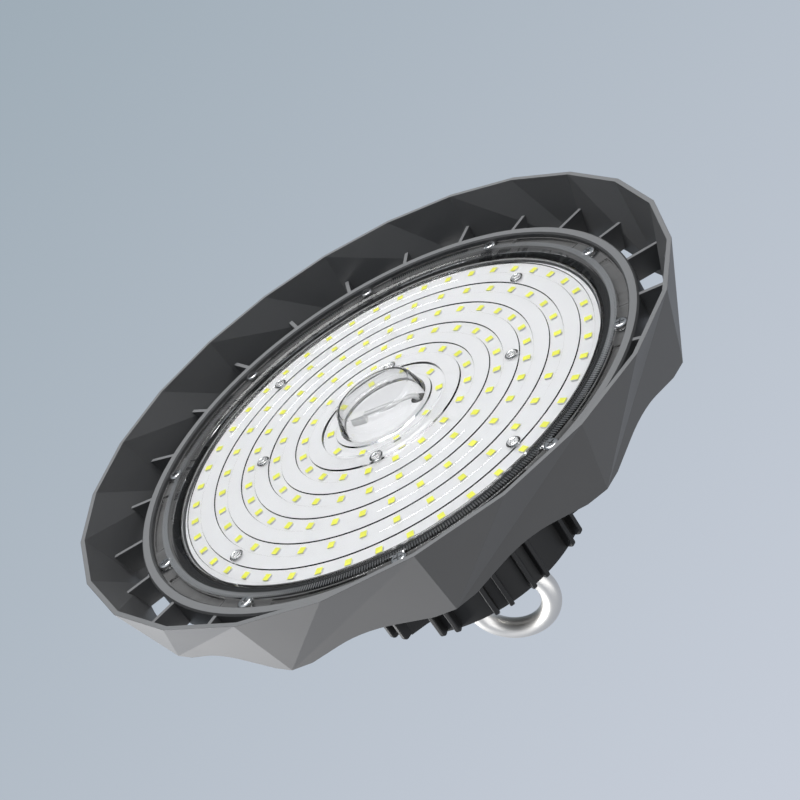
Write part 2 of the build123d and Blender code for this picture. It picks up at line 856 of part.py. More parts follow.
def driver_cover():
    """Cover plate in its rebate, with the boss that carries the eye bolt."""
    plate = housing_slab(rim_lip, cover_base_z, cover_top_z)
    boss = pillar(cover_boss_radius, cover_base_z, boss_top_z)
    boss = fillet(boss.edges().group_by(Axis.Z)[-1], cover_boss_round)
    body = plate + boss - cover_holes(cover_base_z, cover_top_z)
    body -= pillar(eye_shank_radius + hole_clearance, cover_base_z - over, boss_top_z + over)
    return body - vent_axis(pillar(vent_thread_radius, cover_base_z - over, cover_top_z + over))


def cover_screws():
    """Four screws through the cover into the posts."""
    length = cover_top_z - ledge_z + cover_screw_bite
    one = top_screw(cover_screw_head_radius, cover_screw_head_height, cover_screw_radius, length)
    one = Pos(0, 0, cover_top_z) * one
    return group([around(one, post_circle, angle) for angle in post_angles()])


def vent_plug():
    """Breathing plug screwed into the cover."""
    head = pillar(vent_head_radius, cover_top_z, cover_top_z + vent_head_height)
    head = fillet(head.edges().group_by(Axis.Z)[-1], vent_head_round)
    plug = head + pillar(vent_thread_radius, cover_base_z, cover_top_z)
    plug -= pillar(vent_bore_radius, cover_base_z - over, cover_top_z + vent_head_height / 2)
    port = Rot(0, 90, 0) * Cylinder(vent_port_radius, 3 * vent_head_radius)
    port = Pos(0, 0, cover_top_z + vent_head_height / 2) * port
    return vent_axis(plug - port)


def eye_bolt():
    """Forged ring with a neck, a collar and a threaded shank."""
    collar_z = boss_top_z + eye_washer_thickness
    ring_z = cover_top_z + eye_centre_height
    loop = Pos(0, 0, ring_z) * Rot(90, 0, 0) * Torus(eye_ring_radius, eye_section_radius)
    collar = pillar(eye_collar_radius, collar_z, collar_z + eye_collar_height)
    collar = chamfer(collar.edges().group_by(Axis.Z)[-1], eye_collar_chamfer)
    neck_low = collar_z + eye_collar_height
    neck_high = ring_z - eye_ring_radius
    neck_top_radius = eye_section_radius - eye_neck_inset
    neck = Cone(eye_neck_radius, neck_top_radius, neck_high - neck_low, align=STAND)
    neck = Pos(0, 0, neck_low) * neck
    shank = pillar(eye_shank_radius, eye_shank_tip_z, collar_z)
    shank = chamfer(shank.edges().group_by(Axis.Z)[0], eye_shank_chamfer)
    return Rot(0, 0, eye_plane_angle) * (loop + neck + collar + shank)


def eye_washer(low):
    """Flat washer of the eye bolt."""
    return ring(eye_washer_radius, eye_shank_radius + hole_clearance, low, low + eye_washer_thickness)


def eye_nut():
    """Hexagon nut under the cover."""
    low = eye_nut_seat_z - eye_nut_height
    nut = hexagon(eye_nut_flats, low, eye_nut_seat_z)
    crown_radius = eye_nut_flats / 2 + eye_nut_chamfer + eye_nut_corner_cut
    crown = pillar(crown_radius, low, eye_nut_seat_z)
    crown = chamfer(crown.edges(), eye_nut_chamfer)
    return (nut & crown) - pillar(eye_shank_radius, low - over, eye_nut_seat_z + over)


def cable_gland_body():
    """Threaded body of the gland, clamped through the housing wall."""
    tail = pillar(gland_thread_radius, gland_inner_face - gland_nut_thickness - over, gland_hex_start)
    body = tail + hexagon(gland_hex_flats, gland_hex_start, gland_neck_start)
    body += pillar(gland_neck_radius, gland_neck_start, gland_neck_start + gland_neck_length)
    body -= pillar(gland_bore_radius, 0, gland_neck_start + gland_neck_length + over)
    return outward(body, gland_angle, gland_z)


def gland_washer():
    """Sealing washer between the gland and the housing."""
    washer = ring(gland_hex_flats / 2, gland_thread_radius, gland_face, gland_hex_start)
    return outward(washer, gland_angle, gland_z)


def gland_locknut():
    """Nut on the tail of the gland, inside the housing."""
    low = gland_inner_face - gland_nut_thickness
    nut = hexagon(gland_nut_flats, low, gland_inner_face)
    nut -= pillar(gland_thread_radius, low - over, gland_inner_face + over)
    return outward(nut, gland_angle, gland_z)


def gland_cap():
    """Domed cap nut of the gland, with its cable entry."""
    low = gland_neck_start
    high = low + gland_cap_length
    cap = pillar(gland_cap_radius, low, high)
    cap = fillet(cap.edges().group_by(Axis.Z)[-1], gland_cap_round)
    cap -= pillar(gland_neck_radius, low - over, high - gland_cap_wall - gland_seal_wall)
    cap -= pillar(gland_entry_radius, low, high + over)
    flat = Box(gland_cap_radius, gland_cap_radius, gland_cap_length / 2, align=STAND)
    grip = Pos(gland_cap_radius * 1.5 - gland_grip_depth, 0, low) * flat
    cap -= [Rot(0, 0, 60 * k) * grip for k in range(6)]
    return outward(cap, gland_angle, gland_z)


def gland_seal():
    """Soft sleeve that would grip the cable."""
    high = gland_neck_start + gland_cap_length - gland_cap_wall - gland_seal_wall
    sleeve = pillar(gland_bore_radius, gland_neck_start, high)
    sleeve -= pillar(gland_entry_radius, gland_neck_start - over, high + over)
    return outward(sleeve, gland_angle, gland_z)


def on_board(shape, x, y):
    """The shape, standing on the driver board at a place in the board's own axes."""
    return Rot(0, 0, housing_axis_angle) * Pos(x, y, driver_top_z) * shape


def driver_board():
    """Square board of the driver, with clipped corners and its screw holes."""
    plan = RectangleRounded(driver_board_side, driver_board_side, driver_board_corner)
    hole = Circle(driver_screw_radius + hole_clearance)
    plan -= [Pos(x, y) * hole for x, y in standoff_places()]
    return Rot(0, 0, housing_axis_angle) * Pos(0, 0, driver_board_z) * extrude(plan, driver_board_thickness)


def driver_board_screws():
    """Four screws into the standoffs."""
    length = driver_board_thickness + driver_screw_bite
    one = top_screw(driver_screw_head_radius, driver_screw_head_height, driver_screw_radius, length)
    return group([on_board(one, x, y) for x, y in standoff_places()])


def transformer_core():
    """Closed ferrite frame with a middle leg."""
    block = Box(transformer_side, transformer_width, transformer_height, align=STAND)
    leg = transformer_side / 2 - 2 * transformer_window
    window_height = transformer_height - 2 * transformer_window
    window = Box(transformer_window, transformer_width + 2 * over, window_height, align=STAND)
    offset = leg / 2 + transformer_window / 2
    block -= [Pos(side * offset, 0, transformer_window) * window for side in (-1, 1)]
    return on_board(block, *transformer_at)


def transformer_winding():
    """Winding that fills the two windows and bulges out of them."""
    leg = transformer_side / 2 - 2 * transformer_window
    height = transformer_height - 2 * transformer_window
    depth = transformer_width + 2 * winding_overhang
    coil = Box(leg + 2 * transformer_window, depth, height, align=STAND)
    coil -= Box(leg, transformer_width, height, align=STAND)
    return on_board(Pos(0, 0, transformer_window) * coil, *transformer_at)


def can(radius, height):
    """Round capacitor can with a rounded top."""
    body = Cylinder(radius, height, align=STAND)
    return fillet(body.edges().group_by(Axis.Z)[-1], radius * can_round_share)


def choke():
    """Wound ring that stands on its edge."""
    core = Cylinder(choke_radius, choke_thickness) - Cylinder(choke_hole_radius, choke_thickness + 2 * over)
    return on_board(Pos(0, 0, choke_radius) * Rot(90, 0, 0) * core, *choke_at)


def transistor_pair():
    """Two flat transistors that lean on the heat plate."""
    body = Box(transistor_width, transistor_thickness, transistor_height, align=STAND)
    y = sink_plate_at[1] + (sink_plate_thickness + transistor_thickness) / 2
    return group([on_board(body, sink_plate_at[0] + side * transistor_offset, y) for side in (-1, 1)])


def component_box(length, width, height, rounding):
    """Potted block with rounded upright edges."""
    block = Box(length, width, height, align=STAND)
    return fillet(block.edges().filter_by(Axis.Z), rounding)


def fuse():
    """Round fuse that lies on the board."""
    body = Pos(0, 0, fuse_radius) * Rot(0, 90, 0) * Cylinder(fuse_radius, fuse_length)
    return on_board(body, *fuse_at)


def save_lamp_side():
    """Everything in the heat sink and in front of it."""
    save(heat_sink_body(), "heat_sink_body")
    save(lens(), "lens")
    save(lens_gasket(), "lens_gasket")
    save(lens_screws(), "lens_screws")
    save(led_board(), "led_board")
    save(thermal_pad(), "thermal_pad")
    save(led_chips(), "led_chips")
    save(board_screws(), "board_screws")
    save(wire_grommet(), "wire_grommet")
    save(group([output_lead(-1), output_lead(1)]), "output_leads")
    save(board_terminal(), "board_terminal")


def save_housing_side():
    """Everything that closes the driver housing."""
    save(driver_housing(), "driver_housing")
    save(housing_gasket(), "housing_gasket")
    save(housing_screws(), "housing_screws")
    save(cover_gasket(), "cover_gasket")
    save(driver_cover(), "driver_cover")
    save(cover_screws(), "cover_screws")
    save(vent_plug(), "vent_plug")
    save(eye_bolt(), "eye_bolt")
    save(eye_washer(boss_top_z), "eye_washer_outer")
    save(eye_washer(eye_nut_seat_z), "eye_washer_inner")
    save(eye_nut(), "eye_nut")
    save(cable_gland_body(), "cable_gland_body")
    save(gland_washer(), "gland_washer")
    save(gland_locknut(), "gland_locknut")
    save(gland_cap(), "gland_cap")
    save(gland_seal(), "gland_seal")


def save_driver():
    """The driver board and what it carries."""
    save(driver_board(), "driver_board")
    save(driver_board_screws(), "driver_board_screws")
    save(transformer_core(), "transformer_core")
    save(transformer_winding(), "transformer_winding")
    bulk = can(bulk_capacitor_radius, bulk_capacitor_height)
    places = (bulk_capacitor_at, second_bulk_capacitor_at)
    save(group([on_board(bulk, x, y) for x, y in places]), "bulk_capacitors")
    small = can(output_capacitor_radius, output_capacitor_height)
    save(group([on_board(small, x, y) for x, y in output_capacitor_places]), "output_capacitors")
    save(choke(), "filter_choke")
    film_size = (film_capacitor_length, film_capacitor_width, film_capacitor_height)
    save(on_board(component_box(*film_size, film_capacitor_round), *film_capacitor_at), "film_capacitor")
    plate = Box(plate_length, sink_plate_thickness, plate_height, align=STAND)
    save(on_board(plate, *sink_plate_at), "transistor_heat_plate")
    save(transistor_pair(), "power_transistors")
    block = component_box(block_length, block_width, block_height, block_round)
    save(on_board(block, *block_at), "mains_terminal_block")
    save(fuse(), "fuse")


save_lamp_side()
save_housing_side()
save_driver()
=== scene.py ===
# %% [markdown]
# # A high bay light, dressed for a studio picture
# The solids of this lamp come from a CAD model: a faceted heat sink skirt, a clear ringed lens, a ribbed
# driver housing and a lifting eye. This lesson keeps those solids where they are and gives each surface the
# finish it has on the real lamp. Small parts that repeat, such as the yellow squares of the chips and the
# teeth of the lens, are planted with Geometry Nodes.
#
# All sizes are in metres. The origin is the middle of the front rim, and +Z points to the lifting eye.

# %% Load the CAD frame
import math

import bmesh
import bpy
from mathutils import Matrix, Vector


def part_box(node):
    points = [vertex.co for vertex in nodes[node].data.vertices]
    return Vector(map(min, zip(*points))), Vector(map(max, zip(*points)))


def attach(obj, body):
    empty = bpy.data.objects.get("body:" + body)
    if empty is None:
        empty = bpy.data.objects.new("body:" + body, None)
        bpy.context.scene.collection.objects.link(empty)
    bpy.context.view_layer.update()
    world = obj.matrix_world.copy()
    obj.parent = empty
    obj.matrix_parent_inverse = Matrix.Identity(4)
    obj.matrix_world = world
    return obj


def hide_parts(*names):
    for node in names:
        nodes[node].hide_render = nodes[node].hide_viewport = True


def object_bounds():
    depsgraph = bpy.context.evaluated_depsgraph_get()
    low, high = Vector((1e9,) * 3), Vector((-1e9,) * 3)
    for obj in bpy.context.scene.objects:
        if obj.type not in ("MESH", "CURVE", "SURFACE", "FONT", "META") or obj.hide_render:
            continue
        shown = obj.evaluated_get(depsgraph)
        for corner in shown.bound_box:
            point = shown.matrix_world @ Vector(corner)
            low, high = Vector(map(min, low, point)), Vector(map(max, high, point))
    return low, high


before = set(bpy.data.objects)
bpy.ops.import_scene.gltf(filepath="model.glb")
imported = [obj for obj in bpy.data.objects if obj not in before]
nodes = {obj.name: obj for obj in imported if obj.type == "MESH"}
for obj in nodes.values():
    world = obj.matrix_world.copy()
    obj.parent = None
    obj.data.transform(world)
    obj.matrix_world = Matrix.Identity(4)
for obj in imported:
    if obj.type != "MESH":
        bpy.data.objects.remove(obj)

MM = 0.001
cad_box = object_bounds()
print("CAD nodes:", len(nodes), "box (mm):", [[round(v / MM, 1) for v in corner] for corner in cad_box])

# %% [markdown]
# ## The camera
# The camera is in front of the lens and rolled to one side, so the driver housing and the lifting eye show
# past the rim at the bottom of the picture. It could be aimed by eye, but then few lines would lie where they
# lie in the picture. So its place and axes were found once by matching the corners of the rim. Two axes are
# written down, and the third is square to both.

# %% Place the camera
CAMERA_PLACE = Vector((-0.46879, 0.36363, -0.28333))
CAMERA_RIGHT = Vector((0.29597, 0.81661, 0.49552)).normalized()
CAMERA_BACK = Vector((-0.71083, 0.53483, -0.45681)).normalized()
LENS_LENGTH = 66.26
SENSOR_WIDTH = 36.0
NEAREST_SEEN = 0.01

camera_up = CAMERA_BACK.cross(CAMERA_RIGHT).normalized()
camera = bpy.data.objects.new("camera", bpy.data.cameras.new("camera"))
bpy.context.scene.collection.objects.link(camera)
camera.data.lens = LENS_LENGTH
camera.data.sensor_width = SENSOR_WIDTH
camera.data.clip_start = NEAREST_SEEN
axes = Matrix((CAMERA_RIGHT, camera_up, CAMERA_BACK)).transposed()
camera.matrix_world = Matrix.Translation(CAMERA_PLACE) @ axes.to_4x4()
bpy.context.scene.camera = camera
print("camera looks along", [round(v, 3) for v in -CAMERA_BACK])

# %% [markdown]
# ## Helpers for nodes
# Worlds, finishes and planted parts are all trees of nodes here. Their lines could be written out each time,
# but three short functions make them easier to read: one joins two sockets, one does a sum, and one mixes two
# colours. A Mix node has sockets for each kind of data, so the last one picks those for colours.

# %% Node helpers


def link(tree, start, end):
    """Join two sockets of one node tree."""
    tree.links.new(start, end)


def math_node(tree, operation, first, second=None):
    """A Math node; each input is a number or a socket."""
    node = tree.nodes.new("ShaderNodeMath")
    node.operation = operation
    for socket, value in zip(node.inputs, (first, second)):
        if value is None:
            continue
        if isinstance(value, (int, float)):
            socket.default_value = value
        else:
            link(tree, value, socket)
    return node.outputs[0]


def colour_mix(tree, share, first, second):
    """The mix of two colours by a share; each colour is a tuple or a socket."""
    node = tree.nodes.new("ShaderNodeMix")
    node.data_type = "RGBA"
    link(tree, share, node.inputs[0])
    for socket, colour in zip([s for s in node.inputs if s.type == "RGBA"], (first, second)):
        if isinstance(colour, tuple):
            socket.default_value = colour
        else:
            link(tree, colour, socket)
    return [s for s in node.outputs if s.type == "RGBA"][0]


print("node helpers ready")

# %% [markdown]
# ## The backdrop
# The lamp hangs in front of a pale blue grey wall. Painted light makes it lighter to the lower right. A large plane
# behind the lamp could stand for it. Here the world itself is the wall, so it fills the picture from every side and
# neither throws nor catches a shadow.

# %% Find the colour of the wall
# Painted light: the wall runs from a darker upper left to a lighter lower right, set along the camera's axes.
WALL_UPPER_LEFT = (0.347, 0.413, 0.470, 1.0)
WALL_LOWER_RIGHT = (0.571, 0.614, 0.692, 1.0)
WALL_RIGHTWARDS = 0.75
WALL_DOWNWARDS = 0.66
WALL_HALF_VIEW = 0.365

world = bpy.data.worlds.new("studio")
world.use_nodes = True
bpy.context.scene.world = world
tree = world.node_tree
tree.nodes.clear()
direction = tree.nodes.new("ShaderNodeTexCoord")
across = tree.nodes.new("ShaderNodeVectorMath")
across.operation = "DOT_PRODUCT"
across.inputs[1].default_value = (WALL_RIGHTWARDS * CAMERA_RIGHT - WALL_DOWNWARDS * camera_up).normalized()
link(tree, direction.outputs["Generated"], across.inputs[0])
share = tree.nodes.new("ShaderNodeMapRange")
share.inputs["From Min"].default_value = -WALL_HALF_VIEW
share.inputs["From Max"].default_value = WALL_HALF_VIEW
link(tree, across.outputs["Value"], share.inputs["Value"])
wall_colour = colour_mix(tree, share.outputs["Result"], WALL_UPPER_LEFT, WALL_LOWER_RIGHT)
print("wall from", WALL_UPPER_LEFT[:3], "to", WALL_LOWER_RIGHT[:3])

# %% [markdown]
# ## What each ray sees
# A wall so light would also light the lamp, and from all sides alike. So rays from the camera, and rays
# through glass or off metal, see the wall, and all other rays see a weak grey sky. One colour for all rays
# would be simpler, but then the wall couldn't be matched without changing the light on the lamp.

# %% Choose between wall and sky
SKY_GREY = (0.93, 0.96, 1.0, 1.0)
SKY_STRENGTH = 0.12
WALL_STRENGTH = 1.0

wall_light = tree.nodes.new("ShaderNodeBackground")
link(tree, wall_colour, wall_light.inputs["Color"])
wall_light.inputs["Strength"].default_value = WALL_STRENGTH
sky_light = tree.nodes.new("ShaderNodeBackground")
sky_light.inputs["Color"].default_value = SKY_GREY
sky_light.inputs["Strength"].default_value = SKY_STRENGTH
path = tree.nodes.new("ShaderNodeLightPath")
seen = math_node(tree, "MAXIMUM", path.outputs["Is Camera Ray"], path.outputs["Is Glossy Ray"])
seen = math_node(tree, "MAXIMUM", seen, path.outputs["Is Transmission Ray"])
choice = tree.nodes.new("ShaderNodeMixShader")
link(tree, seen, choice.inputs[0])
link(tree, sky_light.outputs[0], choice.inputs[1])
link(tree, wall_light.outputs[0], choice.inputs[2])
out = tree.nodes.new("ShaderNodeOutputWorld")
link(tree, choice.outputs[0], out.inputs["Surface"])
bpy.context.scene.view_settings.view_transform = "Standard"
print("sky strength", SKY_STRENGTH, "wall strength", WALL_STRENGTH)

# %% [markdown]
# ## The lamps of the studio
# A lamp below lights the lens and the white board. A strong one behind the lower left makes the facets on
# that side light, and three weak ones keep the other facets dark but readable. One large lamp could light
# everything, but then neighbouring facets would look alike. Each row has a name, the direction from the
# middle of the object, the distance, the size and the power in watts.

# %% Place the lamps
LAMPS = [
    ("front_softbox", (0.3, -0.22, -1.0), 1.0, 0.5, 4.25),
    ("left_strip", (-0.62, -0.75, 0.25), 1.2, 0.5, 33.0),
    ("right_strip", (-0.35, 0.9, 0.25), 1.4, 0.8, 4.5),
    ("near_strip", (-0.8, 0.6, 0.2), 1.4, 0.6, 3.0),
    ("low_right_strip", (0.25, 0.85, -0.45), 1.4, 0.6, 2.0),
]
CENTRE = (cad_box[0] + cad_box[1]) / 2


def area_lamp(name, direction, distance, size, power):
    """A square lamp that shines at the middle of the object from a direction."""
    light = bpy.data.lights.new(name, "AREA")
    light.shape = "SQUARE"
    light.size = size
    light.energy = power
    lamp = bpy.data.objects.new(name, light)
    bpy.context.scene.collection.objects.link(lamp)
    toward = Vector(direction).normalized()
    lamp.location = CENTRE + toward * distance
    lamp.rotation_mode = "QUATERNION"
    lamp.rotation_quaternion = toward.to_track_quat("Z", "Y")


for row in LAMPS:
    area_lamp(*row)
print("lamps placed:", len(LAMPS))

# %% [markdown]
# ## The floor
# The lamp hangs, so the floor is well below it. It doesn't show in this view, but in the views from above it
# is what the lamp is seen against. A slab would do too, but only the upper side is ever seen, so a sheet with
# four corners is enough.

# %% Lay the floor
FLOOR_Z = -1.1
FLOOR_HALF = 12.0
floor_mesh = bpy.data.meshes.new("floor")
corners = [(x * FLOOR_HALF, y * FLOOR_HALF, FLOOR_Z) for x, y in ((-1, -1), (1, -1), (1, 1), (-1, 1))]
floor_mesh.from_pydata(corners, [], [(0, 1, 2, 3)])
floor = bpy.data.objects.new("floor", floor_mesh)
bpy.context.scene.collection.objects.link(floor)
print("floor at", FLOOR_Z)

# %% [markdown]
# ## Helpers for finishes
# Every finish starts from one Principled shader. Its fixed values go on the shader's own sockets. What
# changes over the surface comes from nodes that read Object coordinates, so a pattern stays in place when the
# object turns. Pictures of the surfaces could be laid on instead, but they get coarse when seen closely.

# %% Finish helpers


def finish_material(name, **values):
    """A new material with one Principled shader, and that shader."""
    material = bpy.data.materials.new(name)
    material.use_nodes = True
    shader = material.node_tree.nodes["Principled BSDF"]
    for key, value in values.items():
        shader.inputs[key.replace("_", " ")].default_value = value
    return material, shader


def new_group(name, inputs, outputs):
    """A shader node group with named sockets, and its two end nodes."""
    group = bpy.data.node_groups.new(name, "ShaderNodeTree")
    for label, kind in inputs:
        group.interface.new_socket(label, in_out="INPUT", socket_type=kind)
    for label, kind in outputs:
        group.interface.new_socket(label, in_out="OUTPUT", socket_type=kind)
    return group, group.nodes.new("NodeGroupInput"), group.nodes.new("NodeGroupOutput")


def use_group(material, group, **values):
    """Place a node group in a material and set its inputs."""
    node = material.node_tree.nodes.new("ShaderNodeGroup")
    node.node_tree = group
    for key, value in values.items():
        node.inputs[key.replace("_", " ")].default_value = value
    return node


def noise(tree, scale, place, detail):
    """The value of a Noise Texture whose scale comes from a socket or a number."""
    node = tree.nodes.new("ShaderNodeTexNoise")
    node.inputs["Detail"].default_value = detail
    if isinstance(scale, (int, float)):
        node.inputs["Scale"].default_value = scale
    else:
        link(tree, scale, node.inputs["Scale"])
    link(tree, place, node.inputs["Vector"])
    return node.outputs["Fac"]


def bump(material, height, depth):
    """Feed a height to the shader's normal."""
    tree = material.node_tree
    node = tree.nodes.new("ShaderNodeBump")
    node.inputs["Distance"].default_value = depth
    link(tree, height, node.inputs["Height"])
    link(tree, node.outputs["Normal"], tree.nodes["Principled BSDF"].inputs["Normal"])


print("finish helpers ready")

# %% [markdown]
# ## A group for painted and moulded skins
# Powder coat and moulded plastic share one look: a fine grain, and slow patches where the surface is a
# little lighter or glossier. Each finish could have nodes of its own, but one group with a few inputs keeps
# them alike, and a finish then says only what differs. The group gives a colour, a roughness and a height.

# %% Skin group
PATCH_SCALE = 26.0
GRAIN_DETAIL = 2.0
PATCH_DETAIL = 4.0

skin_group, entry, leave = new_group(
    "coated_skin",
    [
        ("Grain Scale", "NodeSocketFloat"), ("Base Tone", "NodeSocketColor"), ("Light Tone", "NodeSocketColor"),
        ("Roughness Low", "NodeSocketFloat"), ("Roughness High", "NodeSocketFloat"),
    ],
    [("Color", "NodeSocketColor"), ("Roughness", "NodeSocketFloat"), ("Height", "NodeSocketFloat")],
)
place = skin_group.nodes.new("ShaderNodeTexCoord").outputs["Object"]
grain = noise(skin_group, entry.outputs["Grain Scale"], place, GRAIN_DETAIL)
patches = noise(skin_group, PATCH_SCALE, place, PATCH_DETAIL)
colour = colour_mix(skin_group, patches, entry.outputs["Base Tone"], entry.outputs["Light Tone"])
rough = skin_group.nodes.new("ShaderNodeMapRange")
link(skin_group, patches, rough.inputs["Value"])
link(skin_group, entry.outputs["Roughness Low"], rough.inputs["To Min"])
link(skin_group, entry.outputs["Roughness High"], rough.inputs["To Max"])
link(skin_group, colour, leave.inputs["Color"])
link(skin_group, rough.outputs["Result"], leave.inputs["Roughness"])
link(skin_group, grain, leave.inputs["Height"])
print("skin group:", len(skin_group.nodes), "nodes")

# %% [markdown]
# ## Coated and moulded finishes
# The housing is coated black, and the small parts are nylon, rubber, silicone, painted board or dipped blocks.
# Each could be built alone, but they differ in little. So one function makes them all, and a table holds the
# darkest and the lightest tone, the lowest and the highest roughness, and the depth of the grain.

# %% Coated and moulded finishes
GRAIN_SCALE = 2600.0
COAT_SHINE = 0.25


def skin(name, base, light, rough_low, rough_high, grain_depth, grain_scale=GRAIN_SCALE, **values):
    """A coated or moulded finish made with the skin group."""
    material, shader = finish_material(name, **values)
    group = use_group(
        material, skin_group, Grain_Scale=grain_scale, Base_Tone=(*base, 1.0), Light_Tone=(*light, 1.0),
        Roughness_Low=rough_low, Roughness_High=rough_high,
    )
    tree = material.node_tree
    link(tree, group.outputs["Color"], shader.inputs["Base Color"])
    link(tree, group.outputs["Roughness"], shader.inputs["Roughness"])
    bump(material, group.outputs["Height"], grain_depth)
    return material


SKINS = {
    "black_nylon": ((0.02, 0.02, 0.021), (0.03, 0.03, 0.031), 0.4, 0.55, 0.01 * MM),
    "black_rubber": ((0.014, 0.014, 0.014), (0.022, 0.022, 0.022), 0.6, 0.8, 0.02 * MM),
    "white_mask": ((0.83, 0.83, 0.84), (0.87, 0.87, 0.88), 0.32, 0.42, 0.004 * MM),
    "grey_pad": ((0.4, 0.42, 0.45), (0.45, 0.47, 0.5), 0.7, 0.85, 0.02 * MM),
    "white_nylon": ((0.88, 0.88, 0.87), (0.92, 0.92, 0.91), 0.4, 0.5, 0.01 * MM),
    "green_board": ((0.03, 0.17, 0.06), (0.04, 0.22, 0.09), 0.35, 0.45, 0.005 * MM),
    "green_nylon": ((0.05, 0.3, 0.12), (0.07, 0.36, 0.15), 0.4, 0.5, 0.01 * MM),
    "white_silicone": ((0.88, 0.88, 0.88), (0.92, 0.92, 0.92), 0.45, 0.55, 0.01 * MM),
    "can_sleeve": ((0.02, 0.03, 0.07), (0.03, 0.04, 0.09), 0.25, 0.35, 0.003 * MM),
    "film_dip": ((0.35, 0.06, 0.03), (0.42, 0.08, 0.04), 0.25, 0.35, 0.01 * MM),
    "ferrite": ((0.03, 0.03, 0.032), (0.05, 0.05, 0.052), 0.5, 0.65, 0.02 * MM),
}
finishes = {
    "black_coat": skin(
        "black_coat", (0.012, 0.012, 0.012), (0.018, 0.018, 0.018), 0.4, 0.55, 0.02 * MM,
        Specular_IOR_Level=COAT_SHINE,
    ),
}
for name, row in SKINS.items():
    finishes[name] = skin(name, *row)
print("finishes:", len(finishes))

# %% [markdown]
# ## The casting
# The heat sink is one powder coated casting. The faces that look at the floor, toward the front lamp, get a
# lighter tone: a painted highlight on the rim, the lip round the lens and the front edges of the fins. They
# could be picked by hand, but a group that knows them by their direction and height still works when the
# shape changes.

# %% Painted front highlight group
front_highlight_group, entry, leave = new_group(
    "machined_faces",
    [("Highest", "NodeSocketFloat"), ("Flatness", "NodeSocketFloat")],
    [("Mask", "NodeSocketFloat")],
)
coordinates = front_highlight_group.nodes.new("ShaderNodeTexCoord")
facing = front_highlight_group.nodes.new("ShaderNodeSeparateXYZ")
link(front_highlight_group, coordinates.outputs["Normal"], facing.inputs[0])
height = front_highlight_group.nodes.new("ShaderNodeSeparateXYZ")
link(front_highlight_group, coordinates.outputs["Object"], height.inputs[0])
# Painted highlight: the mask is one on faces that look down toward the front lamp and lie below the highest height.
down = math_node(front_highlight_group, "MULTIPLY", facing.outputs["Z"], -1.0)
flat = math_node(front_highlight_group, "GREATER_THAN", down, entry.outputs["Flatness"])
low = math_node(front_highlight_group, "LESS_THAN", height.outputs["Z"], entry.outputs["Highest"])
link(front_highlight_group, math_node(front_highlight_group, "MULTIPLY", flat, low), leave.inputs["Mask"])
print("machined face group:", len(front_highlight_group.nodes), "nodes")

# %% [markdown]
# ## Coat and painted highlight together
# The casting is the coat, with the lighter tone of a painted highlight wherever the mask is one. Its sharp
# edges could be rounded in the mesh, but that would cost many faces for a line thinner than a pixel. A Bevel
# node rounds them for the light only.

# %% Casting finish
HIGHEST_HIGHLIT_FACE = 22.5 * MM
FLATNESS = 0.97
LIGHT_PATCH_GAIN = 1.15
EDGE_SAMPLES = 4
EDGE_ROUND = 0.4 * MM


def casting(name, coat_tone, highlight_tone):
    """Powder coated casting with a painted highlight on the faces that look at the floor, and softened edges."""
    light_tone = [v * LIGHT_PATCH_GAIN for v in coat_tone]
    material = skin(name, coat_tone, light_tone, 0.4, 0.52, 0.02 * MM, Specular_IOR_Level=COAT_SHINE)
    tree = material.node_tree
    shader = tree.nodes["Principled BSDF"]
    coat_colour = shader.inputs["Base Color"].links[0].from_socket
    # Painted highlight: faces that look at the floor, toward the front lamp, take the lighter second tone.
    highlight_mask = use_group(material, front_highlight_group, Highest=HIGHEST_HIGHLIT_FACE, Flatness=FLATNESS)
    colour = colour_mix(tree, highlight_mask.outputs["Mask"], coat_colour, (*highlight_tone, 1.0))
    link(tree, colour, shader.inputs["Base Color"])
    soft_edge = tree.nodes.new("ShaderNodeBevel")
    soft_edge.samples = EDGE_SAMPLES
    soft_edge.inputs["Radius"].default_value = EDGE_ROUND
    link(tree, soft_edge.outputs[0], tree.nodes["Bump"].inputs["Normal"])
    return material


# The second tone is the painted highlight of the faces that look at the floor.
finishes["grey_coat"] = casting("grey_coat", (0.105, 0.105, 0.106), (0.31, 0.31, 0.312))
print("casting finish:", len(finishes["grey_coat"].node_tree.nodes), "nodes")

# %% [markdown]
# ## Metals
# The lifting eye is satin steel with fine marks from tumbling, and the screws round the lens are brighter.
# The marks could be drawn one by one, but noise that is stretched along one axis looks the same from here, and
# slow noise changes the gloss. A row holds the tone, the lowest and the highest roughness, and the depth of
# the marks. The tooth mirror is for the teeth of the lens, further down.

# %% Metal finishes
MARK_STRETCH = (1.0, 1.0, 0.12)
MARK_SCALE = 1800.0
GLOSS_SCALE = 90.0
METAL_DETAIL = 3.0


def metal(name, tone, rough_low, rough_high, mark_depth):
    """Metal with fine marks and patches of gloss."""
    material, shader = finish_material(name, Metallic=1.0, Base_Color=(*tone, 1.0))
    tree = material.node_tree
    place = tree.nodes.new("ShaderNodeTexCoord").outputs["Object"]
    stretch = tree.nodes.new("ShaderNodeMapping")
    stretch.inputs["Scale"].default_value = MARK_STRETCH
    link(tree, place, stretch.inputs["Vector"])
    marks = noise(tree, MARK_SCALE, stretch.outputs["Vector"], METAL_DETAIL)
    patches = noise(tree, GLOSS_SCALE, place, METAL_DETAIL)
    rough = tree.nodes.new("ShaderNodeMapRange")
    rough.inputs["To Min"].default_value = rough_low
    rough.inputs["To Max"].default_value = rough_high
    link(tree, patches, rough.inputs["Value"])
    link(tree, rough.outputs["Result"], shader.inputs["Roughness"])
    bump(material, marks, mark_depth)
    return material


